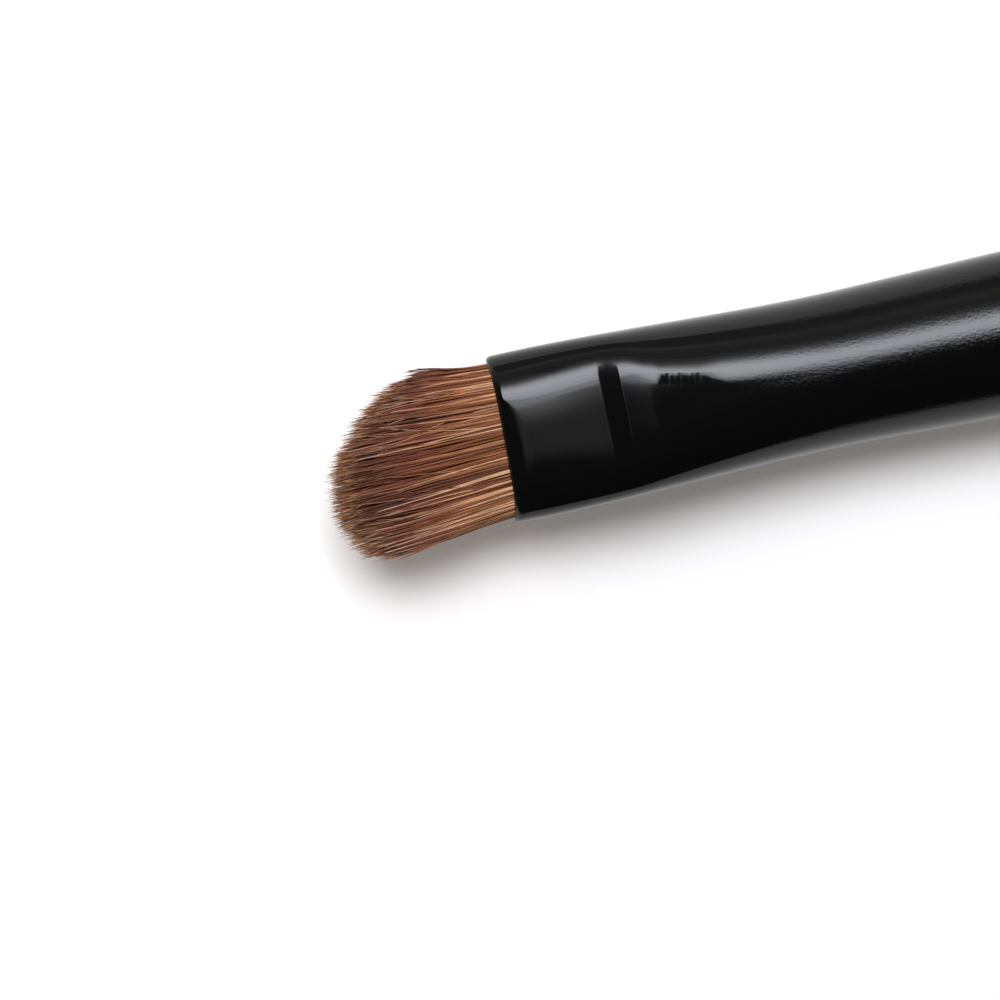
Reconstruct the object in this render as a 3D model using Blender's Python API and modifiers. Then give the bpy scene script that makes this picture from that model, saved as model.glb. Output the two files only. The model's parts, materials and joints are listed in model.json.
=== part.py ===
"""A short, flat, domed make-up brush: a hair tuft bound and glued into a pressed, black
lacquered aluminium ferrule, on a turned wooden handle with the same black lacquer.

Lengths are in metres. The brush is modelled along +X from the ferrule's mouth at x = 0,
with the tuft on the -X side and the handle on the +X side. The empty brush_axis then
lays it on the ground at z = 0 on its belly and its tail."""

import math

import bmesh
import bpy

# Ferrule: a drawn conical tube, pressed flat at its mouth
mouth_width = 0.0080
mouth_thickness = 0.00435
mouth_round_diameter = 0.00646
back_diameter = 0.00805
ferrule_wall = 0.0003
flat_half_width = 0.0014
flat_rise = 0.00053
lip_length = 0.0008
lip_drop = 0.00012
rim_lead = 0.00018
press_length = 0.0050
ramp_length = 0.0011
round_off_length = 0.0030
flatten_length = 0.0175
squeeze_depth = 0.00042

# Crimped rings that hold the ferrule on the tenon
crimp_count = 2
crimp_depth = 0.00015
crimp_half_width = 0.00045
crimp_pitch = 0.0013
crimp_setback = 0.0018

# Fits between pieces that touch on the real brush
fit_gap = 0.0002

# Hair, from the mouth to the apex of the dome, and its bonded butt inside the ferrule
tuft_length = 0.0084
apex_offset = 0.0013
tip_lean = 0.0002
tip_margin = 0.00015
tip_fan_share = 0.25
tip_pinch_share = 0.30
shell_shorter_share = 0.20
upper_fullness = 2.3
lower_fullness = 5.0
strand_pitch = 0.000237
strand_radius = 0.000085
strand_tip_radius = 0.000022
strand_mid_share = 0.55
strand_mid_radius_share = 0.88
butt_setback = 0.0010
butt_length = 0.0060
butt_front_length = 0.0024
strand_embed = 0.0010

# Thread wound round the butt
thread_width = 0.0018
thread_thickness = 0.0003

# Glue behind the hair, and the sleeve of glue round the tenon
root_glue_length = 0.0082
sleeve_thickness = 0.0002

# Handle
tenon_length = 0.0144
tenon_nose_radius = 0.0006
handle_length = 0.1268
shoulder_diameter = 0.0083
shoulder_edge = 0.0002
belly_diameter = 0.0092
belly_distance = 0.0114
tail_diameter = 0.0057
butt_end_diameter = 0.0030
tail_round_length = 0.0040

# Points of a turned outline that lie this near its axis become one
merge_distance = 0.00002

# Counts
strand_sides = 3
section_steps = 32
handle_steps = 24
shoulder_rings = 4
taper_rings = 10
tail_rings = 4
tenon_rings = 2

# Share of each quarter of a section's points that lies on the pressed flat
flat_points_share = 0.25

# Where a crimp's outline has points, as shares of its half width from its middle
crimp_shares = (-1.0, -0.5, 0.0, 0.5, 1.0)

# Places along the ferrule that follow from the sizes above
butt_back = butt_setback + butt_length
root_glue_front = butt_back + fit_gap
root_glue_back = root_glue_front + root_glue_length
tenon_front = root_glue_back + fit_gap
ferrule_length = tenon_front + tenon_length
crimp_places = [ferrule_length - crimp_setback - crimp_pitch * n for n in range(crimp_count)]
crimps_front = min(crimp_places) - crimp_half_width
collar_front = crimps_front - fit_gap
shoulder_front = ferrule_length + fit_gap
handle_end = shoulder_front + handle_length
inner_inset = ferrule_wall + fit_gap

parts = bpy.data.collections.new("domed_eye_brush")
helpers = bpy.data.collections.new("helpers")


def clear_scene():
    for old in list(bpy.data.objects):
        bpy.data.objects.remove(old, do_unlink=True)
    for collection in (parts, helpers):
        bpy.context.scene.collection.children.link(collection)


def make_material(name, color, roughness, metallic):
    material = bpy.data.materials.new(name)
    material.use_nodes = True
    shader = material.node_tree.nodes["Principled BSDF"]
    shader.inputs["Base Color"].default_value = (*color, 1.0)
    shader.inputs["Roughness"].default_value = roughness
    shader.inputs["Metallic"].default_value = metallic
    return material


def smooth_step(share):
    share = min(max(share, 0.0), 1.0)
    return share * share * (3.0 - 2.0 * share)


# The ferrule's outside, which every piece inside it also follows


def crimp_dip(x):
    dip = 0.0
    for place in crimp_places:
        share = abs(x - place) / crimp_half_width
        if share < 1.0:
            dip += crimp_depth * 0.5 * (1.0 + math.cos(math.pi * share))
    return dip


def cone_radius(x):
    grown = (back_diameter - mouth_round_diameter) * x / ferrule_length
    return (mouth_round_diameter + grown) / 2.0 - crimp_dip(x)


def half_width(x):
    fade = 1.0 - smooth_step(x / flatten_length)
    return cone_radius(x) + (mouth_width - mouth_round_diameter) / 2.0 * fade


def half_height(x):
    fade = 1.0 - smooth_step(x / flatten_length)
    squeezed = cone_radius(x) - squeeze_depth * fade
    drop = lip_drop * max(1.0 - x / lip_length, 0.0) ** 2
    pressed = mouth_thickness / 2.0 + flat_rise * x / press_length - drop
    return pressed + (squeezed - pressed) * smooth_step((x - press_length) / ramp_length)


def section_point(x, inset, turn):
    """The point of the section at x, moved in by inset, at this share of a full turn from +Y."""
    wide = half_width(x) - inset
    high = half_height(x) - inset
    quarter = abs((turn * 4.0 + 1.0) % 2.0 - 1.0)
    if quarter > 1.0 - flat_points_share:
        pressed_y = flat_half_width * (1.0 - quarter) / flat_points_share
        pressed_z = high
    else:
        corner_turn = quarter / (1.0 - flat_points_share) * math.pi / 2.0
        pressed_y = flat_half_width + (wide - flat_half_width) * math.cos(corner_turn)
        pressed_z = high * math.sin(corner_turn)
    roundness = smooth_step((x - press_length) / round_off_length)
    round_y = wide * math.cos(quarter * math.pi / 2.0)
    round_z = high * math.sin(quarter * math.pi / 2.0)
    y = pressed_y + (round_y - pressed_y) * roundness
    z = pressed_z + (round_z - pressed_z) * roundness
    return (
        x,
        math.copysign(y, math.cos(turn * 2.0 * math.pi)),
        math.copysign(z, math.sin(turn * 2.0 * math.pi)),
    )


def section_ring(x, inset):
    return [section_point(x, inset, step / section_steps) for step in range(section_steps)]


def ferrule_ring(x):
    """A ring of the outside: at the mouth its sides stand out past the pressed flats."""
    lead = rim_lead * (1.0 - smooth_step(x / press_length))
    ring = []
    for _, y, z in section_ring(x, 0.0):
        past_flat = max(abs(y) - flat_half_width, 0.0) / (half_width(x) - flat_half_width)
        ring.append((x - lead * past_flat**2, y, z))
    return ring


def bore_radius(x):
    """The largest round radius that the ferrule leaves free inside at x."""
    return min(half_width(x), half_height(x)) - ferrule_wall


def spread(start, end, count):
    """Evenly spaced places from start to end, both of them included."""
    return [start + (end - start) * n / count for n in range(count + 1)]


# Meshes


def add_object(name, mesh, material, collection=parts):
    obj = bpy.data.objects.new(name, mesh)
    collection.objects.link(obj)
    if material:
        mesh.materials.append(material)
    mesh.shade_smooth()
    mesh.set_sharp_from_angle(angle=math.radians(40.0))
    return obj


def loft(name, rings, material, capped=True):
    """A skin over rings of points that run from -X to +X and turn from +Y to +Z."""
    shape = bmesh.new()
    loops = [[shape.verts.new(point) for point in ring] for ring in rings]
    for near, far in zip(loops, loops[1:]):
        for n in range(len(near)):
            after = (n + 1) % len(near)
            shape.faces.new((near[n], near[after], far[after], far[n]))
    if capped:
        shape.faces.new(reversed(loops[0]))
        shape.faces.new(loops[-1])
    bmesh.ops.recalc_face_normals(shape, faces=shape.faces)
    mesh = bpy.data.meshes.new(name)
    shape.to_mesh(mesh)
    shape.free()
    return add_object(name, mesh, material)


def turned(name, outline, material, closed=False):
    """A shape turned about X from (x, radius) points that run from its +X end to its -X end."""
    half_step = math.pi / handle_steps
    shape = bmesh.new()
    row = []
    for x, radius in outline:
        row.append(shape.verts.new((radius * math.cos(half_step), radius * math.sin(half_step), x)))
    for near, far in zip(row, row[1:]):
        shape.edges.new((near, far))
    if closed:
        shape.edges.new((row[-1], row[0]))
    mesh = bpy.data.meshes.new(name)
    shape.to_mesh(mesh)
    shape.free()
    obj = bpy.data.objects.new(name, mesh)
    parts.objects.link(obj)
    mesh.materials.append(material)
    obj.rotation_euler = (0.0, math.pi / 2.0, 0.0)
    screw = obj.modifiers.new("turn", "SCREW")
    screw.steps = handle_steps
    screw.render_steps = handle_steps
    screw.use_merge_vertices = True
    screw.merge_threshold = merge_distance
    return obj


# Ferrule


def ferrule_places():
    places = spread(0.0, lip_length, 2)
    places += spread(lip_length, press_length, 3)[1:]
    places += spread(press_length, press_length + ramp_length, 4)[1:]
    rounded = press_length + round_off_length
    places += spread(press_length + ramp_length, rounded, 3)[1:]
    places += spread(rounded, flatten_length, 6)[1:]
    places += spread(flatten_length, crimps_front, 3)[1:]
    for place in sorted(crimp_places):
        for share in crimp_shares:
            places.append(place + share * crimp_half_width)
    places.append(ferrule_length)
    return sorted(set(places))


def make_ferrule():
    lacquer = make_material("black_lacquered_metal", (0.012, 0.012, 0.014), 0.12, 0.0)
    rings = [ferrule_ring(x) for x in ferrule_places()]
    ferrule = loft("ferrule", rings, lacquer, capped=False)
    shell = ferrule.modifiers.new("wall", "SOLIDIFY")
    shell.thickness = ferrule_wall
    shell.offset = -1.0
    shell.use_even_offset = True
    return ferrule


# Hair


def tip_y(y):
    """Where a hair that leaves the mouth at y would reach the apex's depth."""
    return y * (1.0 + tip_fan_share) - tip_lean


def hair_length(y, height_share):
    """The length of the hair that leaves the mouth at y, at this share of the half thickness."""
    edge = half_width(0.0) - inner_inset
    place = tip_y(y)
    if place > -apex_offset:
        reach = tip_y(edge) + tip_margin + apex_offset
        fullness = upper_fullness
    else:
        reach = tip_y(-edge) - tip_margin + apex_offset
        fullness = lower_fullness
    across = min(abs((place + apex_offset) / reach), 1.0)
    dome = (1.0 - across * across) ** (1.0 / fullness)
    return tuft_length * dome * (1.0 - shell_shorter_share * height_share**2)


def hair_center(y, z, distance):
    """The centre of a hair, this far out of the mouth: the tuft fans out and thins."""
    share = distance / tuft_length
    fanned = y + (tip_y(y) - y) * math.sin(share * math.pi / 2.0)
    thinned = z * (1.0 - tip_pinch_share * share**2)
    return -distance, fanned, thinned


def strand_rings(y, z, height_share):
    """Three rings of three points: inside the butt, part of the way out, and at the tip."""
    length = hair_length(y, height_share)
    middle = hair_center(y, z, length * strand_mid_share)
    centers = ((butt_setback + strand_embed, y, z), middle, hair_center(y, z, length))
    radii = (strand_radius, strand_radius * strand_mid_radius_share, strand_tip_radius)
    rings = []
    for center, radius in zip(centers, radii):
        turns = [2.0 * math.pi * corner / strand_sides for corner in range(strand_sides)]
        rings.append([
            (center[0], center[1] + radius * math.cos(turn), center[2] + radius * math.sin(turn))
            for turn in turns
        ])
    return rings


def strand_places():
    """Centres of the hairs at the mouth, on a triangular grid inside its opening."""
    inset = inner_inset + strand_radius
    wide = half_width(0.0) - inset
    high = half_height(0.0) - inset
    row_pitch = strand_pitch * math.sqrt(3.0) / 2.0
    rows = int(high / row_pitch)
    columns = int(wide / strand_pitch) + 1
    places = []
    for row in range(-rows, rows + 1):
        z = row * row_pitch
        shift = strand_pitch / 2.0 if row % 2 else 0.0
        for column in range(-columns, columns + 1):
            y = column * strand_pitch + shift
            past_flat = max(abs(y) - flat_half_width, 0.0) / (wide - flat_half_width)
            if past_flat**2 + (z / high) ** 2 <= 1.0:
                places.append((y, z, z / high))
    return places


def make_strands():
    """All hairs in one helper mesh: closed prisms of three sides that end in a small face."""
    shape = bmesh.new()
    for y, z, height_share in strand_places():
        loops = []
        for ring in strand_rings(y, z, height_share):
            loops.append([shape.verts.new(point) for point in ring])
        for near, far in zip(loops, loops[1:]):
            for n in range(strand_sides):
                after = (n + 1) % strand_sides
                shape.faces.new((near[n], near[after], far[after], far[n]))
        shape.faces.new(reversed(loops[0]))
        shape.faces.new(loops[-1])
    bmesh.ops.recalc_face_normals(shape, faces=shape.faces)
    mesh = bpy.data.meshes.new("strands")
    shape.to_mesh(mesh)
    shape.free()
    strands = add_object("strands", mesh, None, helpers)
    strands.hide_render = True
    strands.display_type = "WIRE"
    return strands


def make_hair_tuft():
    """The bonded butt, waisted where the thread grips it, with the hairs fused to its face."""
    hair = make_material("brown_hair", (0.16, 0.075, 0.035), 0.5, 0.0)
    waist_inset = inner_inset + thread_thickness + fit_gap
    waist_front = butt_setback + butt_front_length
    waist_back = waist_front + thread_width + 2.0 * fit_gap
    rings = [
        section_ring(butt_setback, inner_inset),
        section_ring(waist_front, inner_inset),
        section_ring(waist_front, waist_inset),
        section_ring(waist_back, waist_inset),
        section_ring(waist_back, inner_inset),
        section_ring(butt_back, inner_inset),
    ]
    tuft = loft("hair_tuft", rings, hair)
    strands = make_strands()
    fuse = tuft.modifiers.new("strands", "BOOLEAN")
    fuse.operation = "UNION"
    fuse.object = strands
    return tuft, strands


def make_binding_thread():
    thread = make_material("waxed_thread", (0.62, 0.55, 0.42), 0.8, 0.0)
    front = butt_setback + butt_front_length + fit_gap
    places = spread(front, front + thread_width, 2)
    winding = loft("binding_thread", [section_ring(x, inner_inset) for x in places], thread, capped=False)
    shell = winding.modifiers.new("wall", "SOLIDIFY")
    shell.thickness = thread_thickness
    shell.offset = -1.0
    return winding


def make_root_glue():
    epoxy = make_material("epoxy", (0.55, 0.38, 0.16), 0.3, 0.0)
    places = spread(root_glue_front, root_glue_back, 6)
    return loft("root_glue", [section_ring(x, inner_inset) for x in places], epoxy)


# Handle


def collar_radius(x):
    """Of the tenon's collar, which the crimps grip, and of the outside of the sleeve of glue."""
    return bore_radius(min(x, ferrule_length)) - fit_gap


def seat_radius(x):
    """Of the tenon's longer stretch, inside the sleeve of glue."""
    return collar_radius(x) - sleeve_thickness - fit_gap


def taper_radius(x):
    """From the belly's full radius to the tail's, level at both ends and hollow between."""
    taper_start = shoulder_front + belly_distance
    taper_end = handle_end - tail_round_length
    share = (x - taper_start) / (taper_end - taper_start)
    fade = (1.0 - share) ** 3 * (1.0 + 3.0 * share)
    return (tail_diameter + (belly_diameter - tail_diameter) * fade) / 2.0


def shoulder_radius(x):
    share = (x - shoulder_front) / belly_distance
    swell = math.sin(share * math.pi / 2.0)
    return (shoulder_diameter + (belly_diameter - shoulder_diameter) * swell) / 2.0


def tail_outline():
    """The rounded end, from its flat butt back to the tail's full radius."""
    flat = butt_end_diameter / 2.0
    points = []
    for n in range(tail_rings):
        turn = n / tail_rings * math.pi / 2.0
        x = handle_end - tail_round_length * (1.0 - math.cos(turn))
        points.append((x, flat + (tail_diameter / 2.0 - flat) * math.sin(turn)))
    return points


def handle_outline():
    belly = shoulder_front + belly_distance
    points = [(handle_end, 0.0)]
    points += tail_outline()
    for x in spread(handle_end - tail_round_length, belly, taper_rings):
        points.append((x, taper_radius(x)))
    for x in spread(belly, shoulder_front + shoulder_edge, shoulder_rings)[1:]:
        points.append((x, shoulder_radius(x)))
    points.append((shoulder_front, shoulder_diameter / 2.0 - shoulder_edge))
    return points


def tenon_outline():
    """From the shoulder in: the collar, the seat of the sleeve and a chamfered nose."""
    collar = {shoulder_front, collar_front}
    for place in crimp_places:
        collar.update(place + share * crimp_half_width for share in crimp_shares)
    points = [(x, collar_radius(x)) for x in sorted(collar, reverse=True)]
    for x in spread(collar_front, tenon_front + tenon_nose_radius, tenon_rings):
        points.append((x, seat_radius(x)))
    points.append((tenon_front, seat_radius(tenon_front) - tenon_nose_radius))
    points.append((tenon_front, 0.0))
    return points


def make_handle():
    lacquer = make_material("black_lacquered_wood", (0.010, 0.010, 0.012), 0.10, 0.0)
    return turned("handle", handle_outline() + tenon_outline(), lacquer)


def make_handle_glue():
    glue = make_material("handle_glue", (0.75, 0.70, 0.58), 0.5, 0.0)
    places = spread(collar_front - fit_gap, tenon_front + tenon_nose_radius, tenon_rings)
    outside = [(x, collar_radius(x)) for x in places]
    inside = [(x, collar_radius(x) - sleeve_thickness) for x in reversed(places)]
    return turned("handle_glue", outside + inside, glue, closed=True)


# Rest on the ground


def rest_tilt():
    """The angle at which the faceted handle touches level ground at its belly and its tail."""
    tail_x = handle_end - tail_round_length
    tail_radius = tail_diameter / 2.0
    slopes = [
        (radius - tail_radius) / (tail_x - x)
        for x, radius in handle_outline()
        if x < tail_x
    ]
    return math.atan(max(slopes) * math.cos(math.pi / handle_steps))


def lay_down(pieces, parent_only):
    axis = bpy.data.objects.new("brush_axis", None)
    parts.objects.link(axis)
    for obj in pieces + parent_only:
        obj.parent = axis
    axis.rotation_euler = (0.0, rest_tilt(), 0.0)
    bpy.context.view_layer.update()
    graph = bpy.context.evaluated_depsgraph_get()
    points = []
    for obj in pieces:
        evaluated = obj.evaluated_get(graph)
        mesh = evaluated.to_mesh()
        points += [evaluated.matrix_world @ vertex.co for vertex in mesh.vertices]
        evaluated.to_mesh_clear()
    low_x = min(point.x for point in points)
    high_x = max(point.x for point in points)
    low_z = min(point.z for point in points)
    axis.location = (-(low_x + high_x) / 2.0, 0.0, -low_z)


def main():
    clear_scene()
    tuft, strands = make_hair_tuft()
    pieces = [
        tuft,
        make_binding_thread(),
        make_root_glue(),
        make_ferrule(),
        make_handle(),
        make_handle_glue(),
    ]
    lay_down(pieces, [strands])


main()
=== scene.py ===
import json
import math

import bpy
import numpy as np
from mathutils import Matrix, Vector


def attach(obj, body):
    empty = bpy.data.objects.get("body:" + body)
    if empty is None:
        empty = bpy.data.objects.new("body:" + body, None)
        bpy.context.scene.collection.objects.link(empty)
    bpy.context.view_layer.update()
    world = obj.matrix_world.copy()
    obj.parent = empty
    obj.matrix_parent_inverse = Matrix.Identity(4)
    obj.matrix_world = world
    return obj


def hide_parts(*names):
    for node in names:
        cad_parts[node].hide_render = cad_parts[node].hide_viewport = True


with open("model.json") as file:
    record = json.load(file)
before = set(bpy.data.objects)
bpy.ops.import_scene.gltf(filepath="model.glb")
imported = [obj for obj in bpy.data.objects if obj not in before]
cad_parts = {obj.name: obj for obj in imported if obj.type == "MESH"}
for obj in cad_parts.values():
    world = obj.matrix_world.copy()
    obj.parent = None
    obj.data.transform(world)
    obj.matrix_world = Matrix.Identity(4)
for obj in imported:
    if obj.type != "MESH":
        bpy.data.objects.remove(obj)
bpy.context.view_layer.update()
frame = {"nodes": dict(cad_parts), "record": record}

# Sizes in metres, the same as the CAD part's
mouth_width = 0.0080
mouth_thickness = 0.00435
mouth_round_diameter = 0.00646
back_diameter = 0.00805
ferrule_wall = 0.0003
ferrule_length = 0.030
press_length = 0.0050
flatten_length = 0.0175
squeeze_depth = 0.00042
rim_lead = 0.00018
crimp_places = (0.0282, 0.0269)
crimp_depth = 0.00015
crimp_half_width = 0.00045
fit_gap = 0.0002

tuft_length = 0.0084
apex_offset = 0.0013
upper_reach = 0.00550
lower_reach = 0.00347
upper_fullness = 2.3
lower_fullness = 5.0

shoulder_front = 0.0302
handle_end = 0.157
shoulder_diameter = 0.0083
shoulder_edge = 0.0002
belly_diameter = 0.0092
belly_distance = 0.0114
tail_diameter = 0.0057
butt_end_diameter = 0.0030
tail_round_length = 0.0040
tail_mount_rise = 0.0007
collar_front = 0.02625
tenon_front = 0.0156

# Finer forms of the ferrule that only this skin has, in metres
rim_skew = 0.024
rim_back = 0.00007
rim_roll = 0.00018
rim_roll_length = 0.00034
back_roll = 0.00006
inner_roll = 0.00009
lip_length = 0.00130
lip_half_widths = (0.00268, 0.0040)
lip_center = -0.0005
lip_drop = 0.000136
lip_fade_length = 0.0006
lip_roundness = 2.4
lip_steepness = 2.1
crown_place = 0.0016
flat_fade_width = 0.0012
corner_fullness = 1.200
edge_start = 0.00168
edge_reach = 0.00143
ridge_height = 0.000034
ridge_front = 0.0077
ridge_offset = 0.00157
ridge_slant = 0.181
ridge_wobble = 0.000003
ridge_wobble_length = 0.00019
ridge_fade_in = (0.00752, 0.00042)
ridge_fade_out = (0.00955, 0.00150)
ridge_inner_width = 0.00056
ridge_outer_width = 0.00095
crease_spread = 0.14
crease_depth = 0.6

# How the hair fans out, thins and ends
tip_lean = 0.00018
tip_fan_share = 0.15
tip_pinch_share = 0.34
shell_shorter_share = 0.10
hair_pitch = 0.000092
hair_classes = 64


# The brush's own frame: +X from the mouth to the tail, +Z out of the flat side


def brush_frame():
    """Its axes in the scene and the middle of its mouth, from the flat at the tail's end."""
    mounts = {mount["name"]: mount for mount in frame["record"]["mounts"]}
    tail = mounts["tail_end"]
    along = Vector(tail["axis"]).normalized()
    across = Vector((0.0, 1.0, 0.0))
    up = along.cross(across)
    start = Vector(tail["pos_m"]) - handle_end * along - tail_mount_rise * up
    return np.array([along, across, up]), np.array(start)


axes, mouth = brush_frame()


def to_world(points):
    return np.asarray(points) @ axes + mouth


# Meshes


def make_mesh_object(name, points, faces, material, smooth=True):
    mesh = bpy.data.meshes.new(name)
    mesh.from_pydata([tuple(p) for p in points], [], faces)
    mesh.materials.append(material)
    if smooth:
        mesh.shade_smooth()
    mesh.update()
    return link_object(name, mesh)


def link_object(name, data):
    obj = bpy.data.objects.new(name, data)
    bpy.context.scene.collection.objects.link(obj)
    return obj


def make_grid_object(name, rings, material, closed_path):
    """A skin over rings of points; their path closes on itself or has a cap at both ends."""
    count, around = rings.shape[:2]
    near = np.arange(around)
    after = (near + 1) % around
    faces = []
    for n in range(count if closed_path else count - 1):
        a = n * around
        b = ((n + 1) % count) * around
        faces += np.stack([a + near, a + after, b + after, b + near], 1).tolist()
    if not closed_path:
        faces.append(near[::-1].tolist())
        faces.append(((count - 1) * around + near).tolist())
    return make_mesh_object(name, to_world(rings.reshape(-1, 3)), faces, material)


# The ferrule's outline


def smooth_step(share):
    share = np.clip(share, 0.0, 1.0)
    return share * share * (3.0 - 2.0 * share)


def crimp_dip(x):
    dip = np.zeros_like(x)
    for place in crimp_places:
        share = np.abs(x - place) / crimp_half_width
        dip += np.where(share < 1.0, crimp_depth * 0.5 * (1.0 + np.cos(np.pi * share)), 0.0)
    return dip


def cone_radius(x):
    grown = (back_diameter - mouth_round_diameter) * x / ferrule_length
    return (mouth_round_diameter + grown) / 2.0 - crimp_dip(x)


def half_width(x):
    fade = 1.0 - smooth_step(x / flatten_length)
    return cone_radius(x) + (mouth_width - mouth_round_diameter) / 2.0 * fade


# Lines of values along the ferrule, on a grid in millimetres from the mouth

grid_step = 0.01
grid = np.arange(-2.0, 34.0, grid_step)


def rounded(line, smoothing):
    """A line along the grid with its corners rounded; the smoothing is in millimetres."""
    reach = int(3.0 * smoothing / grid_step)
    weights = np.exp(-0.5 * (np.arange(-reach, reach + 1) * grid_step / smoothing) ** 2)
    return np.convolve(np.pad(line, reach, mode="edge"), weights / weights.sum(), mode="valid")


def line_through(stops, smoothing):
    """A rounded line through pairs of a place and a value."""
    places, values = zip(*stops)
    return rounded(np.interp(grid, places, values), smoothing)


def pressed_profile():
    """The pressed flat rises a little, steps up where the press ends, and goes on as a facet."""
    slope = line_through((
        (0.00, 0.0880), (1.20, 0.1010), (3.00, 0.1290), (4.88, 0.1060),
        (5.06, 0.2050), (5.45, 0.2080), (5.75, 0.2110), (5.98, 0.2150),
        (6.00, 0.0925), (7.20, 0.0990), (7.60, 0.0735), (7.75, 0.0500),
    ), 0.012)
    join = 7.75
    join_fade = 6.0
    rise = np.cumsum(slope) * grid_step
    rise -= np.interp(0.0, grid, rise)
    pressed = mouth_thickness / 2.0 * 1000.0 + rise
    squeeze = squeeze_depth * (1.0 - smooth_step(grid / 1000.0 / flatten_length))
    squeezed = (cone_radius(grid / 1000.0) - squeeze) * 1000.0
    step = np.interp(join, grid, pressed) - np.interp(join, grid, squeezed)
    rest = squeezed + step * (1.0 - smooth_step((grid - join) / join_fade))
    return np.where(grid < join, pressed, rest)


def edge_profile():
    """Along the flat's edges a straight ramp stands in for the step, so the corner is unbroken."""
    ends = (4.14, 8.13)
    rounded_end = 14.0
    ramp_line = np.interp(grid, ends, np.interp(ends, grid, pressed_line))
    line = np.where((grid > ends[0]) & (grid < ends[1]), ramp_line, pressed_line)
    return np.where(grid < rounded_end, rounded(line, 0.45), line)


# Half the height in the middle and along the flat's edges, half the width of the flat,
# the slope of its crown at crown_place, and the power of its corners' curve.
# A least-squares fit to the photo's brightness gave the values of the last three lines, the ends
# in edge_profile, corner_fullness, edge_start and edge_reach. Most slopes were moved off its.
pressed_line = pressed_profile()
edge_line = edge_profile()
flat_line = line_through((
    (0.0, 1.780), (1.5, 1.465), (3.0, 1.431), (4.6, 1.363), (5.4, 1.421),
    (6.2, 2.023), (7.4, 0.900), (9.2, 0.600), (11.5, 0.155), (16.0, -0.010),
), 0.45)
crown_line = line_through(((0.0, 0.0448), (2.5, 0.0425), (5.0, 0.0250), (7.5, 0.0548)), 0.60)
power_line = line_through(((0.0, 2.20), (5.0, 3.24), (9.0, 2.32), (16.0, 2.11)), 0.80)


def value_at(x, line):
    return np.interp(x * 1000.0, grid, line)


def half_height(x):
    return value_at(x, pressed_line) / 1000.0


def edge_height(x):
    """Half the height that the flat's edges follow: the step fades out before it reaches them."""
    return value_at(x, edge_line) / 1000.0


def corner_power(x, y):
    """The near corner is squarer than the far one."""
    near_side = np.interp(x, (0.006, 0.012, 0.020), (0.9, 0.35, 0.1))
    return value_at(x, power_line) + near_side * (y < 0.0)


# The ferrule's surface


def pinch_ridge(x, y):
    """The press pinched a low ridge beside the facet, with fine creases on its inner side."""
    wobble = ridge_wobble * np.sin(x / ridge_wobble_length)
    crest = ridge_offset - (x - ridge_front) * ridge_slant + wobble
    fade_in = smooth_step((x - ridge_fade_in[0]) / ridge_fade_in[1])
    along = fade_in * (1.0 - smooth_step((x - ridge_fade_out[0]) / ridge_fade_out[1]))
    # Three waves of different lengths, in shares that add up to 1
    fine = 0.30 * np.sin(x / 0.000026 + 3.0 * np.sin(x / 0.00017))
    creases = fine + 0.35 * np.sin(x / 0.000047 + 1.3) + 0.35 * np.sin(x / 0.00011)
    inner_width = ridge_inner_width * (1.0 + crease_spread * creases)
    inner = np.clip(1.0 - (crest - y) / inner_width, 0.0, 1.0) * (y <= crest)
    outer = np.clip(1.0 - (y - crest) / ridge_outer_width, 0.0, 1.0) * (y > crest)
    folds = 1.0 + crease_depth * creases * inner * (1.0 - inner)
    return ridge_height * along * (inner**1.5 * folds + outer)


def lip_dip(x, y):
    """The flat dips towards the mouth, over a crescent that is widest near the middle."""
    half = np.where(y > lip_center, lip_half_widths[0], lip_half_widths[1])
    share = np.clip(1.0 - np.abs((y - lip_center) / half) ** lip_roundness, 0.0, 1.0)
    reach = lip_length * share
    on_lip = np.clip(1.0 - np.clip(x, 0.0, None) / np.maximum(reach, 0.00001), 0.0, 1.0)
    return lip_drop * on_lip**lip_steepness * smooth_step(reach / lip_fade_length)


def section_height(x, y, inset):
    """Height of the section over y: a crowned flat, round corners and the lip at the mouth."""
    wide = half_width(x) - inset
    at_edge = smooth_step((np.abs(y) - edge_start) / edge_reach)
    high = half_height(x) + (edge_height(x) - half_height(x)) * at_edge - inset
    flat = value_at(x, flat_line) / 1000.0
    level = smooth_step(flat / flat_fade_width)
    crown = value_at(x, crown_line) / 2.0 / crown_place * level
    past = np.clip((np.abs(y) - flat) / (wide - flat), 0.0, 1.0)
    corner = 1.0 + (corner_fullness - 1.0) * (1.0 - past) ** 2 * level
    power = corner_power(x, y)
    fall = (high - crown * wide**2) * (1.0 - (1.0 - past**power) ** (1.0 / power)) * corner
    return high - crown * y**2 - fall - lip_dip(x, y)


def section(x, inset, turns):
    """Rings of the ferrule's section at each x, moved in by each inset."""
    x = x[:, None]
    inset = inset[:, None]
    y = (half_width(x) - inset) * np.cos(turns * 2.0 * np.pi)[None, :]
    face = np.sign(np.sin(turns * 2.0 * np.pi))[None, :]
    z = section_height(x, y, inset) * face + pinch_ridge(x, y) * (face > 0.0)
    fade = 1.0 - smooth_step(x / press_length)
    skewed = rim_skew * fade * y - rim_lead * fade * (np.abs(y) / half_width(x)) ** 4
    return np.stack([x + skewed + rim_back * fade, y, z], 2)


def section_turns():
    """Where the points of a ring lie, as shares of a turn, denser across the pinched ridge."""
    ring_points = 240
    ridge_points = 50
    ridge_turns = (0.172, 0.222)
    turns = (np.arange(ring_points) + 0.5) / ring_points
    across_ridge = (turns > ridge_turns[0]) & (turns < ridge_turns[1])
    dense = np.linspace(*ridge_turns, ridge_points)
    return np.sort(np.concatenate([turns[~across_ridge], dense]))


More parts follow.
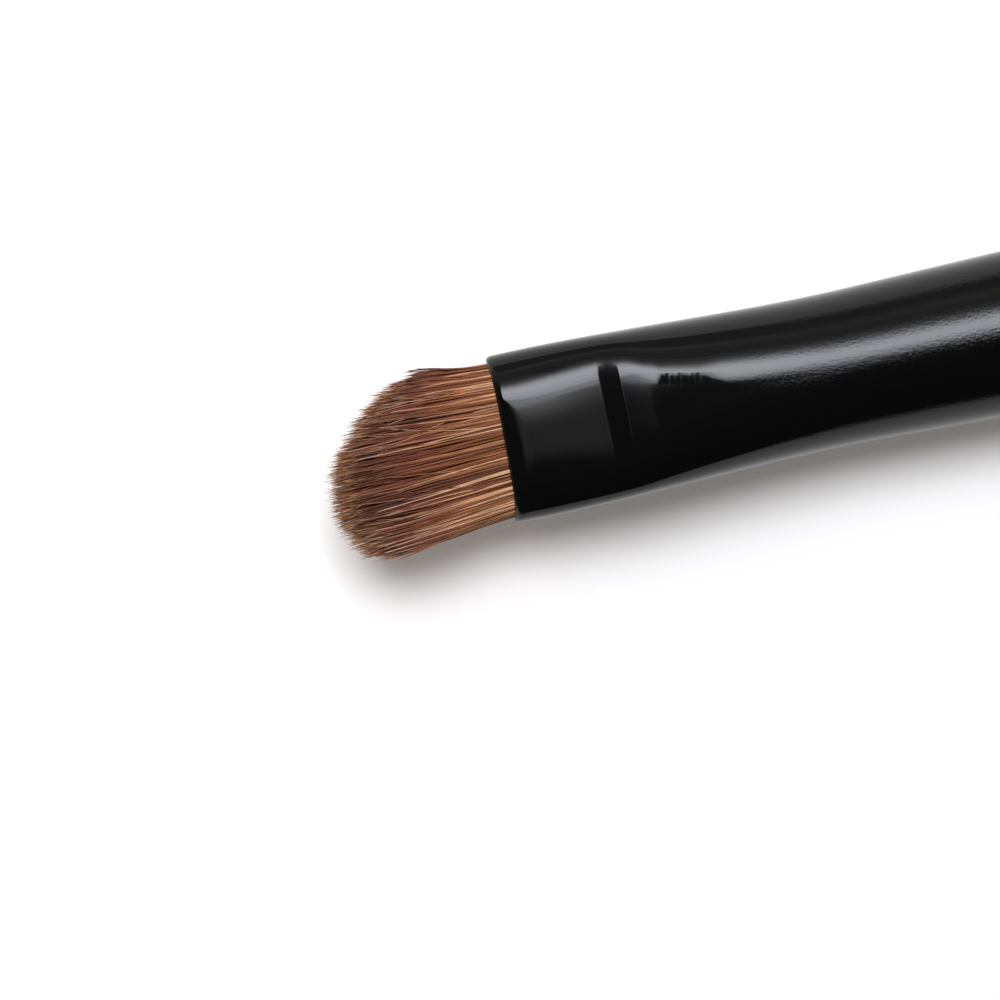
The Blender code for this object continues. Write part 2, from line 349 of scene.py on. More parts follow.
def make_ferrule(material):
    """From the rolled rim along the outside to the back rim, and back along the inside."""
    bend = np.linspace(0.0, np.pi / 2.0, 9)
    xs = list(rim_roll_length - rim_roll_length * np.cos(bend))
    insets = list(rim_roll - rim_roll * np.sin(bend))

    # Start, end and pitch of the stations, which are dense where the surface turns quickly
    spans = (
        (0.00038, 0.00139, 0.00005),
        (0.0014, 0.0047, 0.00018),
        (0.00474, 0.00596, 0.00005),
        (0.005965, 0.006025, 0.00001),
        (0.00606, 0.00634, 0.00005),
        (0.0064, 0.00735, 0.00008),
        (0.0074, 0.01075, 0.00004),
        (0.0108, 0.0262, 0.0004),
        (0.0263, 0.0289, 0.00007),
    )
    outside = [x for span in spans for x in np.arange(*span)]
    outside += [0.0290, 0.0293, 0.0296, ferrule_length - back_roll]
    xs += outside
    insets += [0.0] * len(outside)
    xs += list(ferrule_length - back_roll + back_roll * np.sin(bend[1:]))
    insets += list(back_roll - back_roll * np.cos(bend[1:]))

    inside = [
        0.0299, 0.0296, 0.0290, 0.0284, 0.0280, 0.0274, 0.0270, 0.0264, 0.0240, 0.0200, 0.0160,
        0.0120, 0.0090, 0.0075, 0.0062, 0.0056, 0.0050, 0.0035, 0.0020, 0.0010, 0.0005, 0.0002,
    ]
    xs += inside
    insets += [ferrule_wall] * len(inside)
    xs += list(inner_roll - inner_roll * np.sin(bend[1:-1]))
    insets += list(ferrule_wall - inner_roll + inner_roll * np.cos(bend[1:-1]))
    rings = section(np.array(xs), np.array(insets), section_turns())
    return make_grid_object("ferrule_shell", rings, material, closed_path=True)


# Handle


def handle_radius(x):
    belly = shoulder_front + belly_distance
    taper_end = handle_end - tail_round_length
    share = np.clip((x - belly) / (taper_end - belly), 0.0, 1.0)
    fade = (1.0 - share) ** 3 * (1.0 + 3.0 * share)
    taper = (tail_diameter + (belly_diameter - tail_diameter) * fade) / 2.0
    swell = np.sin(np.clip((x - shoulder_front) / belly_distance, 0.0, 1.0) * np.pi / 2.0)
    shoulder = (shoulder_diameter + (belly_diameter - shoulder_diameter) * swell) / 2.0
    return np.where(x < belly, shoulder, taper)


def turned_rings(outline, around):
    turn = np.arange(around) / around * 2.0 * np.pi
    outline = np.array(outline)
    x = np.broadcast_to(outline[:, :1], (len(outline), around))
    y = outline[:, 1:] * np.cos(turn)[None, :]
    z = outline[:, 1:] * np.sin(turn)[None, :]
    return np.stack([x, y, z], 2)


def make_handle(material):
    """One turned outline from the butt end over the belly and the shoulder to the tenon's nose."""
    pole = 0.00002
    bevel = 0.0001
    seat_depth = 0.0004
    nose_length = 0.0006
    nose_depth = 0.0007
    crimps_front = 0.0262
    tail_steps, body_steps, edge_steps, collar_steps = 24, 150, 6, 40
    quarter_turn = np.pi / 2.0

    flat = butt_end_diameter / 2.0
    outline = [(handle_end, pole), (handle_end, flat * 0.5), (handle_end, flat - bevel)]
    for turn in np.linspace(0.0, quarter_turn, tail_steps)[1:]:
        x = handle_end - tail_round_length * (1.0 - math.cos(turn))
        outline.append((x, flat + (tail_diameter / 2.0 - flat) * math.sin(turn)))
    start = handle_end - tail_round_length
    xs = np.linspace(start, shoulder_front + shoulder_edge, body_steps)[1:]
    outline += [(x, float(handle_radius(np.array(x)))) for x in xs]
    edge_radius = float(handle_radius(np.array(shoulder_front + shoulder_edge)))
    for turn in np.linspace(0.0, quarter_turn, edge_steps)[1:]:
        x = shoulder_front + shoulder_edge * (1.0 - math.sin(turn))
        outline.append((x, edge_radius - shoulder_edge * (1.0 - math.cos(turn))))
    collar = float(half_width(np.array(crimps_front)) - ferrule_wall - fit_gap)
    seat = collar - seat_depth
    outline += [(shoulder_front, collar + bevel), (shoulder_front - bevel, collar)]
    for x in np.linspace(ferrule_length, collar_front, collar_steps):
        outline.append((x, collar - float(crimp_dip(np.array(x)))))
    outline += [(collar_front, seat), (tenon_front + nose_length, seat - bevel)]
    outline += [(tenon_front, seat - nose_depth), (tenon_front, pole)]
    rings = turned_rings(outline[::-1], around=96)
    return make_grid_object("handle_body", rings, material, closed_path=False)


# Hair


def fanned(y, distance):
    """Where a hair that starts at y lies across the tuft, at a distance out of the ferrule."""
    out = np.clip(distance / tuft_length, 0.0, 1.0)
    tip = y * (1.0 + tip_fan_share) - tip_lean
    return y + (tip - y) * np.sin(out * np.pi / 2.0)


def hair_length(y, height_share):
    """Length out of the ferrule, so that the tips end on the tuft's lopsided dome."""
    dome_limit = 0.985
    length = np.full(np.shape(y), tuft_length)

    # A hair's length decides where it ends, and the dome there its length, so rounds settle both
    for _ in range(12):
        place = fanned(y, length) + apex_offset
        reach = np.where(place > 0.0, upper_reach, lower_reach)
        fullness = np.where(place > 0.0, upper_fullness, lower_fullness)
        across = np.minimum(np.abs(place) / reach, dome_limit)
        dome = (1.0 - across * across) ** (1.0 / fullness)
        length = 0.5 * length + 0.5 * tuft_length * dome
    return length * (1.0 - shell_shorter_share * height_share**2)


def opening_height(y):
    """Half the height of the mouth's opening, just inside the rim."""
    depth = 0.0001
    clearance = 0.00004
    return section_height(np.full(np.shape(y), depth), y, ferrule_wall + clearance)


def hair_roots(rng):
    """Hair centres on a jittered triangular grid that fills the ferrule's opening."""
    side_clearance = 0.00006
    jitter = 0.28
    wide = float(half_width(np.array(0.0))) - ferrule_wall - side_clearance
    high = float(half_height(np.array(0.0))) - ferrule_wall
    row_pitch = hair_pitch * math.sqrt(3.0) / 2.0
    rows = int(high / row_pitch) + 1
    columns = int(wide / hair_pitch) + 1
    places = np.array([
        ((column + 0.5 * (row % 2)) * hair_pitch, row * row_pitch)
        for row in range(-rows, rows + 1)
        for column in range(-columns, columns + 1)
    ])
    places += rng.uniform(-jitter, jitter, places.shape) * hair_pitch
    places = places[np.abs(places[:, 0]) < wide]
    depth = np.abs(places[:, 1]) / opening_height(places[:, 0])
    depth = np.maximum(depth, (np.abs(places[:, 0]) / wide) ** 3)
    inside = depth <= 1.0
    return places[inside], depth[inside], wide


def strand_paths(places, lengths, tips, steps, waves):
    """Centre lines from inside the ferrule out to each tip: they fan out, thin and wander."""
    inside_length = 0.0009
    swing_onset = 0.002
    lead_width = 0.004
    station_power = 0.85
    bend_power = 1.7
    share = np.linspace(0.0, 1.0, steps)[None, :] ** station_power
    distance = share * (lengths[:, None] + inside_length) - inside_length
    out = np.clip(distance, 0.0, None)
    y = fanned(places[:, :1], out)
    z = places[:, 1:] * (1.0 - tip_pinch_share * (out / tuft_length) ** 2)
    grow = (out / lengths[:, None]) ** bend_power
    swing = np.sin(out / lengths[:, None] * np.pi * waves[:, 2:3] + waves[:, 3:4])
    swing = (swing - np.sin(waves[:, 3:4])) * np.clip(out / swing_onset, 0.0, 1.0)
    y = y + tips[:, :1] * grow + waves[:, :1] * swing
    z = z + tips[:, 1:] * grow + waves[:, 1:2] * swing
    lead = rim_skew * places[:, :1] - rim_lead * (np.abs(places[:, :1]) / lead_width) ** 4
    return np.stack([lead - distance, y, z], 2)


def make_waves(rng, count, swing):
    """For each strand: how far it swings across and up, how often, and where it starts."""
    waves = np.empty((count, 4))
    waves[:, 0] = rng.normal(0.0, swing, count)
    waves[:, 1] = rng.normal(0.0, swing * 0.5, count)
    waves[:, 2] = rng.uniform(0.8, 1.8, count)
    waves[:, 3] = rng.uniform(0.0, 2.0 * np.pi, count)
    return waves


def make_strands(name, rng, paths, radii, sides, classes, material):
    """Closed tapered tubes; the UV map holds the strand's class across and its length along."""
    count, steps = paths.shape[:2]
    along = np.linspace(0.0, 1.0, steps)
    taper = np.interp(along, (0.0, 0.45, 0.78, 0.92, 1.0), (1.0, 0.98, 0.80, 0.52, 0.12))
    turn = np.arange(sides) / sides * 2.0 * np.pi
    twist = rng.uniform(0.0, 2.0 * np.pi, count)
    angle = turn[None, :] + twist[:, None]
    radius = radii[:, None] * taper[None, :]
    points = np.repeat(paths[:, :, None, :], sides, axis=2)
    points[..., 1] += radius[:, :, None] * np.cos(angle)[:, None, :]
    points[..., 2] += radius[:, :, None] * np.sin(angle)[:, None, :]
    world = to_world(points.reshape(-1, 3))

    base = (np.arange(count) * steps * sides)[:, None, None]
    ring = (np.arange(steps - 1) * sides)[None, :, None]
    side = np.arange(sides)
    a = base + ring + side[None, None, :]
    b = base + ring + ((side + 1) % sides)[None, None, :]
    quads = np.stack([a, a + sides, b + sides, b], 3).reshape(-1, 4)
    caps_root = base[:, 0] + side[None, :]
    caps_tip = base[:, 0] + (steps - 1) * sides + side[::-1][None, :]
    loops = np.concatenate([quads.ravel(), caps_root.ravel(), caps_tip.ravel()])
    totals = np.concatenate([np.full(len(quads), 4), np.full(2 * count, sides)])
    starts = np.concatenate([[0], np.cumsum(totals)[:-1]])

    mesh = bpy.data.meshes.new(name)
    mesh.vertices.add(len(world))
    mesh.vertices.foreach_set("co", world.astype(np.float32).ravel())
    mesh.loops.add(len(loops))
    mesh.loops.foreach_set("vertex_index", loops.astype(np.int32))
    mesh.polygons.add(len(totals))
    mesh.polygons.foreach_set("loop_start", starts.astype(np.int32))
    mesh.polygons.foreach_set("loop_total", totals.astype(np.int32))
    mesh.update(calc_edges=True)
    mesh.validate()

    uv = mesh.uv_layers.new(name="OFBake")
    used = np.empty(len(mesh.loops), dtype=np.int32)
    mesh.loops.foreach_get("vertex_index", used)
    strand = used // (steps * sides)
    rank = (used // sides) % steps
    corner = used % sides

    # Each strand stays within its class's column and off the map's edges
    u = (classes[strand] + 0.25 + 0.5 * corner / sides) / hair_classes
    v = 0.02 + 0.96 * along[rank]
    uv.data.foreach_set("uv", np.stack([u, v], 1).astype(np.float32).ravel())
    mesh.materials.append(material)
    mesh.shade_smooth()
    return link_object(name, mesh)


def tone_class(score):
    """Ranks a shade score, where 0 is usual, into the classes from dark to pale."""
    normal_to_logistic = 1.702
    share = 1.0 / (1.0 + np.exp(-normal_to_logistic * score))
    return np.clip((share * hair_classes).astype(int), 0, hair_classes - 1)


def clipped_normal(rng, count, mean, spread, least, most):
    return rng.normal(mean, spread, count).clip(least, most)


def random_side(rng, count, share):
    """+1 for about that share of the strands, and -1 for the others."""
    return np.where(rng.random(count) < share, 1.0, -1.0)


def make_body_hair(rng, material):
    """The mass of the tuft: hairs in wide and small locks that lean, swing and shade together."""
    short_share = 0.16
    least_length = 0.0012
    outer_depth = 0.70
    tip_scatter = (0.00011, 0.00005)
    shade_scatter = 0.62
    lock_reach = 14
    lock_jitter = 0.4
    lock_box = (0.0045, 0.0024)

    places, depth, wide = hair_roots(rng)
    count = len(places)
    rise = places[:, 1] / opening_height(places[:, 0])
    lengths = hair_length(places[:, 0], np.clip(rise, -1.0, 1.0))
    lengths = lengths + clipped_normal(
        rng, count, mean=-0.00009, spread=0.00023, least=-0.0006, most=0.00042)
    short = rng.random(count) < short_share
    lengths = np.where(short, lengths * rng.uniform(0.78, 0.98, count), lengths)
    lengths = np.maximum(lengths, least_length)

    tips = rng.normal(0.0, 1.0, (count, 2)) * tip_scatter
    waves = make_waves(rng, count, swing=0.000016)
    score = rng.normal(0.0, shade_scatter, count)
    for pitch, low, high, lean, swing, shade in (
        (0.00085, 0.04, 0.20, 0.00008, 0.000026, 0.18),
        (0.00036, 0.05, 0.50, 0.00007, 0.000018, 0.40),
    ):
        steps = np.arange(-lock_reach, lock_reach + 1) * pitch
        lock_places = np.array([(y, z) for y in steps for z in steps])
        lock_places = lock_places[(np.abs(lock_places) < lock_box).all(1)]
        locks = len(lock_places)
        lock_places += rng.uniform(-lock_jitter, lock_jitter, (locks, 2)) * pitch
        lock = ((places[:, None, :] - lock_places[None, :, :]) ** 2).sum(2).argmin(1)
        pull = rng.uniform(low, high, locks)[lock][:, None]
        tips += (lock_places[lock] - places) * pull
        tips += (rng.normal(0.0, 1.0, (locks, 2)) * (lean, lean * 0.6))[lock]
        waves[:, :2] += make_waves(rng, locks, swing)[lock][:, :2]
        score += rng.normal(0.0, shade, locks)[lock]

    # Painted light: the tuft is paler towards its side under the softbox and towards its lower
    # edge
    side = places[:, 0] / wide
    score += 0.6 * smooth_step((-side - 0.52) / 0.40)
    score += 0.50 * smooth_step((side - 0.15) / 0.35) + 0.03
    classes = tone_class(score)
    radii = clipped_normal(
        rng, count, mean=0.000044, spread=0.000006, least=0.000030, most=0.000060)

    outer = depth > outer_depth
    upper = places[:, 1] > 0.0
    pieces = []
    for name, chosen, steps, sides in (
        ("hair_upper", outer & upper, 14, 5),
        ("hair_lower", outer & ~upper, 14, 5),
        ("hair_core", ~outer, 9, 4),
    ):
        paths = strand_paths(places[chosen], lengths[chosen], tips[chosen], steps, waves[chosen])
        pieces.append(make_strands(
            name, rng, paths, radii[chosen], sides, classes[chosen], material))
    return pieces, wide


def make_loose_hair(name, rng, start, length, tip, swing, radii, tone, material):
    """Strands of one kind; radii are mean, spread, least and most, and tone is mean and spread."""
    steps, sides = 15, 5
    count = len(start)
    waves = make_waves(rng, count, swing)
    paths = strand_paths(start, length, tip, steps, waves)
    radius = clipped_normal(rng, count, *radii)
    classes = tone_class(rng.normal(*tone, count))
    return make_strands(name, rng, paths, radius, sides, classes, material)


def make_crossing_hair(rng, wide, material):
    """Loose pale hairs that cross the others on both faces of the tuft."""
    count = 95
    y = rng.uniform(-0.94, 0.94, count) * wide
    face = random_side(rng, count, 0.6)
    start = np.stack([y, face * opening_height(y) * 0.985], 1)
    length = hair_length(y, 0.9) * rng.uniform(0.80, 1.03, count)
    lift = face * rng.uniform(0.00005, 0.00012, count)
    sway = rng.normal(0.0, 0.00045, count)
    tip = np.stack([np.clip(sway, -0.9 * wide - y, 0.9 * wide - y), lift], 1)
    return make_loose_hair(
        "hair_crossing", rng, start, length, tip, swing=0.00005,
        radii=(0.000031, 0.000005, 0.000020, 0.000042), tone=(1.7, 0.8), material=material)


def make_painted_glint_hair(rng, wide, material):
    """A few pale hairs that lie with the others: a painted glint on single hairs near the ferrule.
    """
    count = 34
    y = rng.uniform(-0.94, 0.94, count) * wide
    face = random_side(rng, count, 0.5)
    start = np.stack([y, face * opening_height(y)], 1)
    length = hair_length(y, 0.9) * rng.uniform(0.55, 0.98, count)
    sway = rng.normal(0.0, 0.00010, count)
    tip = np.stack([sway, face * rng.uniform(-0.00002, 0.00008, count)], 1)
    # Their high tone paints a pale glint along each of these hairs
    return make_loose_hair(
        "hair_painted_glint", rng, start, length, tip, swing=0.00003,
        radii=(0.000040, 0.000005, 0.000028, 0.000050), tone=(2.6, 0.7), material=material)


def make_stray_hair(rng, wide, material):
    """Strays that stand off the tuft's edges."""
    count = 34
    edge = random_side(rng, count, 0.62)
    y = edge * wide * rng.uniform(0.80, 0.98, count)
    start = np.stack([y, rng.uniform(-0.9, 0.9, count) * opening_height(y)], 1)
    length = np.maximum(hair_length(y, 0.0), 0.0030) * rng.uniform(0.85, 1.10, count)
    sway = edge * rng.uniform(0.00002, 0.00042, count)
    tip = np.stack([sway, rng.normal(0.0, 0.0001, count)], 1)
    return make_loose_hair(
        "hair_strays", rng, start, length, tip, swing=0.00003,
        radii=(0.000029, 0.000004, 0.000020, 0.000038), tone=(0.3, 0.9), material=material)


def make_hair(material):
    rng = np.random.default_rng(seed=11)
    pieces, wide = make_body_hair(rng, material)
    for make_loose in (make_crossing_hair, make_painted_glint_hair, make_stray_hair):
        pieces.append(make_loose(rng, wide, material))
    return pieces


# Materials

# The colour sockets of a Mix node, by number, because other sockets share their names
mix_first, mix_second, mix_result = 6, 7, 2


def new_material(name):
    material = bpy.data.materials.new(name)
    material.use_nodes = True
    tree = material.node_tree
    return material, tree, tree.nodes["Principled BSDF"]


def add_node(tree, kind, **inputs):
    node = tree.nodes.new(kind)
    for name, value in inputs.items():
        node.inputs[name.replace("_", " ")].default_value = value
    return node


def noise_texture(tree, space, **inputs):
    node = add_node(tree, "ShaderNodeTexNoise", **inputs)
    tree.links.new(space, node.inputs["Vector"])
    return node.outputs["Fac"]


def ramp(tree, stops, source):
    node = tree.nodes.new("ShaderNodeValToRGB")
    points = node.color_ramp.elements
    while len(points) < len(stops):
        points.new(0.5)
    for point, (place, color) in zip(points, stops):
        point.position = place
        point.color = (*color, 1.0)
    tree.links.new(source, node.inputs["Fac"])
    return node.outputs["Color"]


def set_or_link(tree, value, socket):
    if isinstance(value, (int, float)):
        socket.default_value = value
    else:
        tree.links.new(value, socket)


def math_node(tree, operation, first, second=0.0, third=0.0):
    node = tree.nodes.new("ShaderNodeMath")
    node.operation = operation
    for socket, value in zip(node.inputs, (first, second, third)):
        set_or_link(tree, value, socket)
    return node.outputs["Value"]


def vector_node(tree, operation, sources):
    node = tree.nodes.new("ShaderNodeVectorMath")
    node.operation = operation
    for socket, source in sources.items():
        tree.links.new(source, node.inputs[socket])
    return node.outputs["Vector"]


def map_range(tree, source, low, high, to_low, to_high):
    node = add_node(tree, "ShaderNodeMapRange", From_Min=low, From_Max=high, To_Min=to_low)
    set_or_link(tree, to_high, node.inputs["To Max"])
    tree.links.new(source, node.inputs["Value"])
    return node.outputs["Result"]


def split_vector(tree, source):
    node = tree.nodes.new("ShaderNodeSeparateXYZ")
    tree.links.new(source, node.inputs["Vector"])
    return node.outputs


def object_space(tree, scale=(1.0, 1.0, 1.0)):
    coordinate = tree.nodes.new("ShaderNodeTexCoord")
    mapping = add_node(tree, "ShaderNodeMapping", Scale=scale)
    tree.links.new(coordinate.outputs["Object"], mapping.inputs["Vector"])
    return mapping.outputs["Vector"]


def add_relief(tree, shader, height, depth):
    bump = add_node(tree, "ShaderNodeBump", Distance=depth)
    tree.links.new(height, bump.inputs["Height"])
    tree.links.new(bump.outputs["Normal"], shader.inputs["Normal"])


def lacquer_material(name, base, roughness, peel_size, peel_depth, smooth_share, smooth_end):
    """Black gloss lacquer with a fine orange peel, smoother in front of smooth_end."""
    material, tree, shader = new_material(name)
    space = object_space(tree)
    tint = noise_texture(tree, space, Scale=900.0, Detail=3.0)
    colors = ramp(tree, [(0.3, base), (0.7, tuple(1.5 * c for c in base))], tint)
    tree.links.new(colors, shader.inputs["Base Color"])
    shader.inputs["IOR"].default_value = 1.34
    along = split_vector(tree, space)["X"]
    peeled = map_range(tree, along, smooth_end - 0.002, smooth_end + 0.003, smooth_share, 1.0)
    grain = noise_texture(tree, space, Scale=1.0 / peel_size, Detail=3.0, Roughness=0.65)
    uneven = map_range(tree, grain, 0.40, 0.75, 0.0, 0.05)
    gloss = math_node(tree, "MULTIPLY_ADD", uneven, peeled, roughness)
    tree.links.new(gloss, shader.inputs["Roughness"])
    add_relief(tree, shader, math_node(tree, "MULTIPLY", grain, peeled), peel_depth)
    return material


def hair_material():
    """Brown hair with an orange root, a dark length and a pale tip, in a shade for each class."""
    chance_seed = 71.13
    drift_spacing = 3.7
    drift_length = 5.0
    straw = (1.00, 0.55, 0.27, 1.0)
    material, tree, shader = new_material("brown_hair")
    uv = tree.nodes.new("ShaderNodeUVMap")
    uv.uv_map = "OFBake"
    parts = split_vector(tree, uv.outputs["UV"])
    across, along = parts["X"], parts["Y"]
    kind = math_node(tree, "FLOOR", math_node(tree, "MULTIPLY", across, float(hair_classes)))
    dice = tree.nodes.new("ShaderNodeTexWhiteNoise")
    dice.noise_dimensions = "1D"
    tree.links.new(math_node(tree, "ADD", kind, chance_seed), dice.inputs["W"])
    chance = dice.outputs["Value"]

    length = ramp(tree, [
        (0.00, (0.216, 0.070, 0.0230)),
        (0.30, (0.203, 0.063, 0.0205)),
        (0.60, (0.163, 0.046, 0.0157)),
        (0.80, (0.144, 0.042, 0.0178)),
        (0.90, (0.166, 0.055, 0.0250)),
        (1.00, (0.270, 0.125, 0.065)),
    ], along)
    # Shades by class; the palest, bluish-white classes are painted glints on single hairs
    tones_and_painted_glints = ramp(tree, [
        (0.00, (0.40, 0.34, 0.34)),
        (0.18, (0.66, 0.61, 0.60)),
        (0.50, (1.00, 1.00, 1.00)),
        (0.80, (1.28, 1.33, 1.30)),
        (0.92, (1.65, 1.95, 2.10)),
        (0.97, (2.70, 4.20, 6.00)),
        (1.00, (3.60, 7.00, 11.5)),
    ], across)
    mix = tree.nodes.new("ShaderNodeMix")
    mix.data_type = "RGBA"
    mix.blend_type = "MULTIPLY"
    mix.inputs["Factor"].default_value = 1.0
    tree.links.new(length, mix.inputs[mix_first])
    tree.links.new(tones_and_painted_glints, mix.inputs[mix_second])

    # The shade drifts along each strand, and its tip fades to a pale straw by chance
    spot = tree.nodes.new("ShaderNodeCombineXYZ")
    tree.links.new(math_node(tree, "MULTIPLY", kind, drift_spacing), spot.inputs["X"])
    tree.links.new(math_node(tree, "MULTIPLY", along, drift_length), spot.inputs["Y"])
    drift = noise_texture(tree, spot.outputs["Vector"], Scale=1.0, Detail=2.0)
    strength = map_range(tree, drift, 0.3, 0.7, 0.72, 1.25)
    tip = tree.nodes.new("ShaderNodeMix")
    tip.data_type = "RGBA"
    pale_share = map_range(tree, chance, 0.0, 1.0, 0.10, 1.0)
    tree.links.new(map_range(tree, along, 0.92, 0.985, 0.0, pale_share), tip.inputs["Factor"])
    shade = vector_node(tree, "SCALE", {0: mix.outputs[mix_result], "Scale": strength})
    tree.links.new(shade, tip.inputs[mix_first])
    tip.inputs[mix_second].default_value = straw
    tree.links.new(tip.outputs[mix_result], shader.inputs["Base Color"])

    gloss = map_range(tree, chance, 0.0, 1.0, 0.38, 0.58)
    tree.links.new(gloss, shader.inputs["Roughness"])
    shader.inputs["IOR"].default_value = 1.33
    return material


def speckled_material(name, dark, light, scale, roughness, stretch=(1.0, 1.0, 1.0), depth=0.00002):
    """For glue and thread: a mottled colour with a matching fine relief."""
    material, tree, shader = new_material(name)
    space = object_space(tree, stretch)
    noise = noise_texture(tree, space, Scale=scale, Detail=4.0, Roughness=0.6)
    colors = ramp(tree, [(0.35, dark), (0.65, light)], noise)
    tree.links.new(colors, shader.inputs["Base Color"])
    shader.inputs["Roughness"].default_value = roughness
    add_relief(tree, shader, noise, depth)
    return material


def floor_material():
    """Warm white; cameras, gloss and glass see it a little brighter than the lamps make it."""
    lift = 0.14
    material, tree, shader = new_material("pale_floor")
    noise = noise_texture(tree, object_space(tree), Scale=60.0, Detail=2.0)
    colors = ramp(tree, [(0.3, (0.955, 0.935, 0.895)), (0.7, (0.975, 0.955, 0.915))], noise)
    tree.links.new(colors, shader.inputs["Base Color"])
    seen = tree.nodes.new("ShaderNodeLightPath").outputs
    direct = math_node(tree, "MAXIMUM", seen["Is Camera Ray"], seen["Is Glossy Ray"])
    direct = math_node(tree, "MAXIMUM", direct, seen["Is Transmission Ray"])
    shader.inputs["Emission Color"].default_value = (1.0, 0.95, 0.90, 1.0)
    tree.links.new(math_node(tree, "MULTIPLY", direct, lift), shader.inputs["Emission Strength"])
    shader.inputs["Roughness"].default_value = 0.9
    shader.inputs["Specular IOR Level"].default_value = 0.0
    return material


# Pieces

ferrule = make_ferrule(lacquer_material(
    "ferrule_lacquer", (0.0012, 0.0012, 0.0014), roughness=0.074,
    peel_size=0.00014, peel_depth=0.0000110, smooth_share=0.03, smooth_end=-0.0620))
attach(ferrule, "root")
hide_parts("ferrule")

handle = make_handle(lacquer_material(
    "handle_lacquer", (0.0012, 0.0012, 0.0013), roughness=0.08,
    peel_size=0.00025, peel_depth=0.0000020, smooth_share=1.0, smooth_end=-0.0400))
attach(handle, "root")
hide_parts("handle")

for piece in make_hair(hair_material()):
    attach(piece, "root")
    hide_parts("hair_tuft")


def dress_node(name, material):
    for slot in frame["nodes"][name].material_slots:
        slot.material = material


dress_node("binding_thread", speckled_material(
    "waxed_thread", (0.42, 0.34, 0.24), (0.72, 0.64, 0.50), scale=500.0, roughness=0.75,
    stretch=(8.0, 1.0, 1.0), depth=0.00005))
dress_node("root_glue", speckled_material(
    "set_epoxy", (0.42, 0.27, 0.10), (0.60, 0.42, 0.18), scale=700.0, roughness=0.25))
dress_node("handle_glue", speckled_material(
    "wood_glue", (0.66, 0.60, 0.46), (0.80, 0.76, 0.64), scale=900.0, roughness=0.55))


# Stage, lamps, world and camera


def make_floor():
    half = 8.0
    points = [(-half, -half, 0.0), (half, -half, 0.0), (half, half, 0.0), (-half, half, 0.0)]
    floor = make_mesh_object("floor", points, [(0, 1, 2, 3)], floor_material(), smooth=False)


def make_panel(name, along, across, radiance, color):
    """A level panel high above the brush, its edges in degrees from straight up over the head."""
    height = 4.0
    edges = [[height * math.tan(math.radians(a)) for a in pair] for pair in (along, across)]
    width, depth = (pair[1] - pair[0] for pair in edges)
    lamp = bpy.data.lights.new(name, "AREA")
    lamp.shape = "RECTANGLE"
    lamp.size = width
    lamp.size_y = depth
    lamp.energy = radiance * math.pi * width * depth
    lamp.color = color
    middle = Vector((sum(edges[0]) / 2.0, sum(edges[1]) / 2.0, height))
    link_object(name, lamp).location = Vector(mouth) + middle


def make_lamps():
    """One wide softbox above the far long side, in strips that fade towards its far edge."""
    cool = (0.95, 0.975, 1.06)
    along = (-17.0, 14.5)
    # The near edge and all strengths but the first two come from the fit to the photo's brightness
    strips = (
        (4.7, 7.5, 7.20),
        (7.5, 11.0, 12.00),
        (11.0, 15.0, 13.88),
        (15.0, 22.0, 15.06),
        (22.0, 25.5, 12.63),
        (25.5, 28.0, 9.08),
        (28.0, 30.5, 5.66),
        (30.5, 33.0, 3.11),
        (33.0, 37.0, 1.45),
        (37.0, 43.0, 0.48),
    )
    for number, (near, far, radiance) in enumerate(strips, 1):
        make_panel(f"softbox_{number}", along, (near, far), radiance, cool)


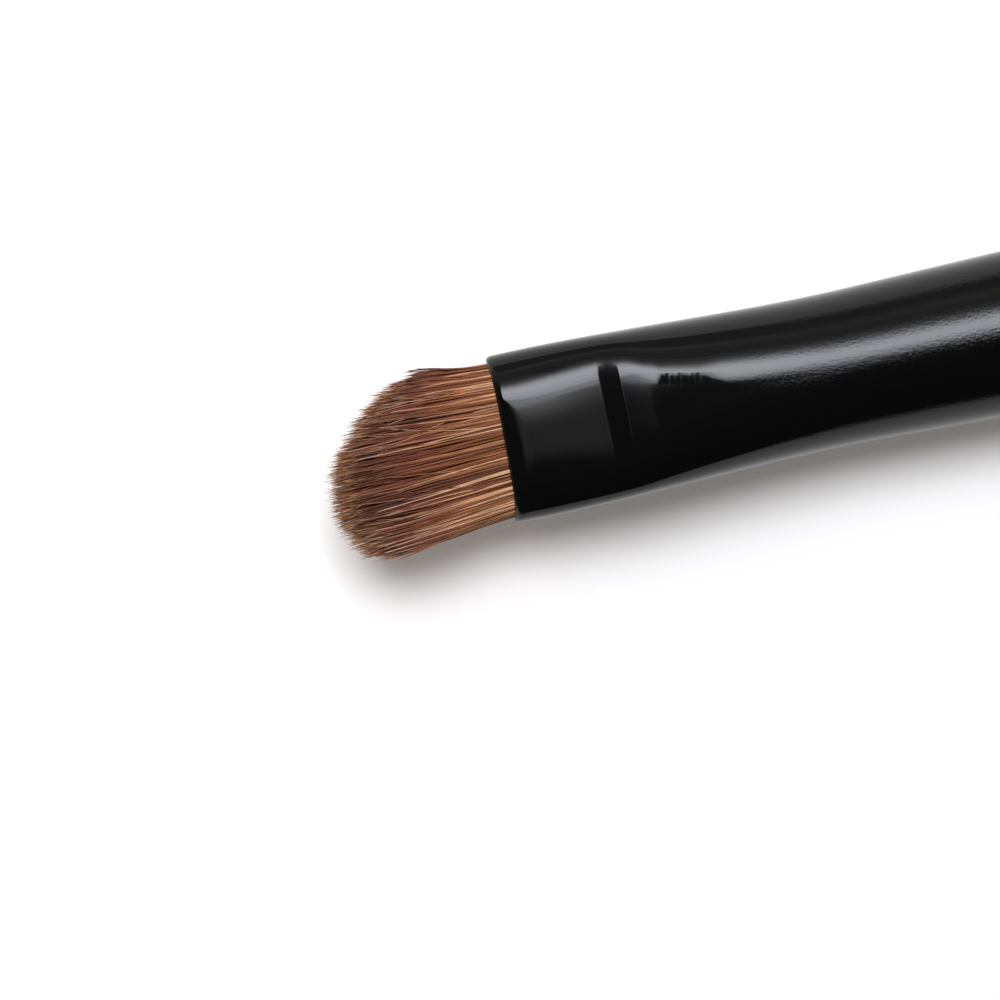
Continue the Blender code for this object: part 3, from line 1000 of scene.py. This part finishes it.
def make_world():
    """A dim warm studio with one pale edge in it, and a soft glow beside the softbox."""
    world = bpy.data.worlds.new("dim_studio")
    world.use_nodes = True
    tree = world.node_tree
    coordinate = tree.nodes.new("ShaderNodeTexCoord")
    parts = split_vector(tree, coordinate.outputs["Generated"])

    # The room's levels from the near side, -1, to the far side, 1; those up to 0.5 are fitted too
    side = map_range(tree, parts["Y"], -1.0, 1.0, 0.0, 1.0)
    levels = (
        (-1.000, 0.062), (-0.400, 0.074), (-0.100, 0.096), (0.100, 0.113), (0.300, 0.167),
        (0.500, 0.259), (0.600, 0.380), (0.680, 0.500), (0.760, 0.590), (0.820, 0.600),
        (0.855, 0.700), (0.882, 0.930), (0.908, 0.580), (0.930, 0.410), (1.000, 0.340),
    )
    room = ramp(tree, [
        ((place + 1.0) / 2.0, (level, 0.94 * level, 0.89 * level)) for place, level in levels
    ], side)

    # The glow's fitted levels over its angle from straight up, across the brush
    glow = (
        (-10, 0.000), (-8, 0.003), (-6, 0.000), (-4, 0.000), (-2, 0.630),
        (0, 0.537), (2, 0.571), (4, 2.726), (6, 0.000), (7, 0.000),
    )
    start, end = (math.tan(math.radians(glow[n][0])) for n in (0, -1))
    top = max(level for _, level in glow)
    height = math_node(tree, "MAXIMUM", parts["Z"], 0.001)
    tilt = math_node(tree, "DIVIDE", parts["Y"], height)
    shape = ramp(tree, [
        ((math.tan(math.radians(angle)) - start) / (end - start), (level / top,) * 3)
        for angle, level in glow
    ], map_range(tree, tilt, start, end, 0.0, 1.0))

    # Along the brush it rises and falls over these fitted tangents of the angle from straight up
    along = math_node(tree, "DIVIDE", parts["X"], height)
    rising = map_range(tree, along, -0.338, -0.300, 0.0, top)
    falling = map_range(tree, along, -0.176, -0.141, 1.0, 0.0)
    strength = math_node(tree, "MULTIPLY", rising, falling)
    spill = vector_node(tree, "SCALE", {0: shape, "Scale": strength})
    both = vector_node(tree, "ADD", {0: room, 1: spill})
    tree.links.new(both, tree.nodes["Background"].inputs["Color"])
    bpy.context.scene.world = world


def make_camera():
    """A long lens straight above the brush's head, turned so that the brush rises to the right."""
    width = 0.04717
    distance = 0.60
    aim = (-0.000675, -0.00275, 0.0)
    turn = -11.9
    camera = bpy.data.cameras.new("camera")
    camera.sensor_width = 36.0
    camera.lens = camera.sensor_width * distance / width
    camera.clip_start = 0.05
    camera.clip_end = 40.0
    target = to_world([aim])[0]
    obj = link_object("camera", camera)
    obj.location = Vector(target) + Vector((0.0, 0.0, distance))
    obj.rotation_euler = (0.0, 0.0, math.radians(turn))
    bpy.context.scene.camera = obj


make_floor()
make_lamps()
make_world()
make_camera()
bpy.context.scene.view_settings.view_transform = "Standard"

bpy.context.view_layer.update()
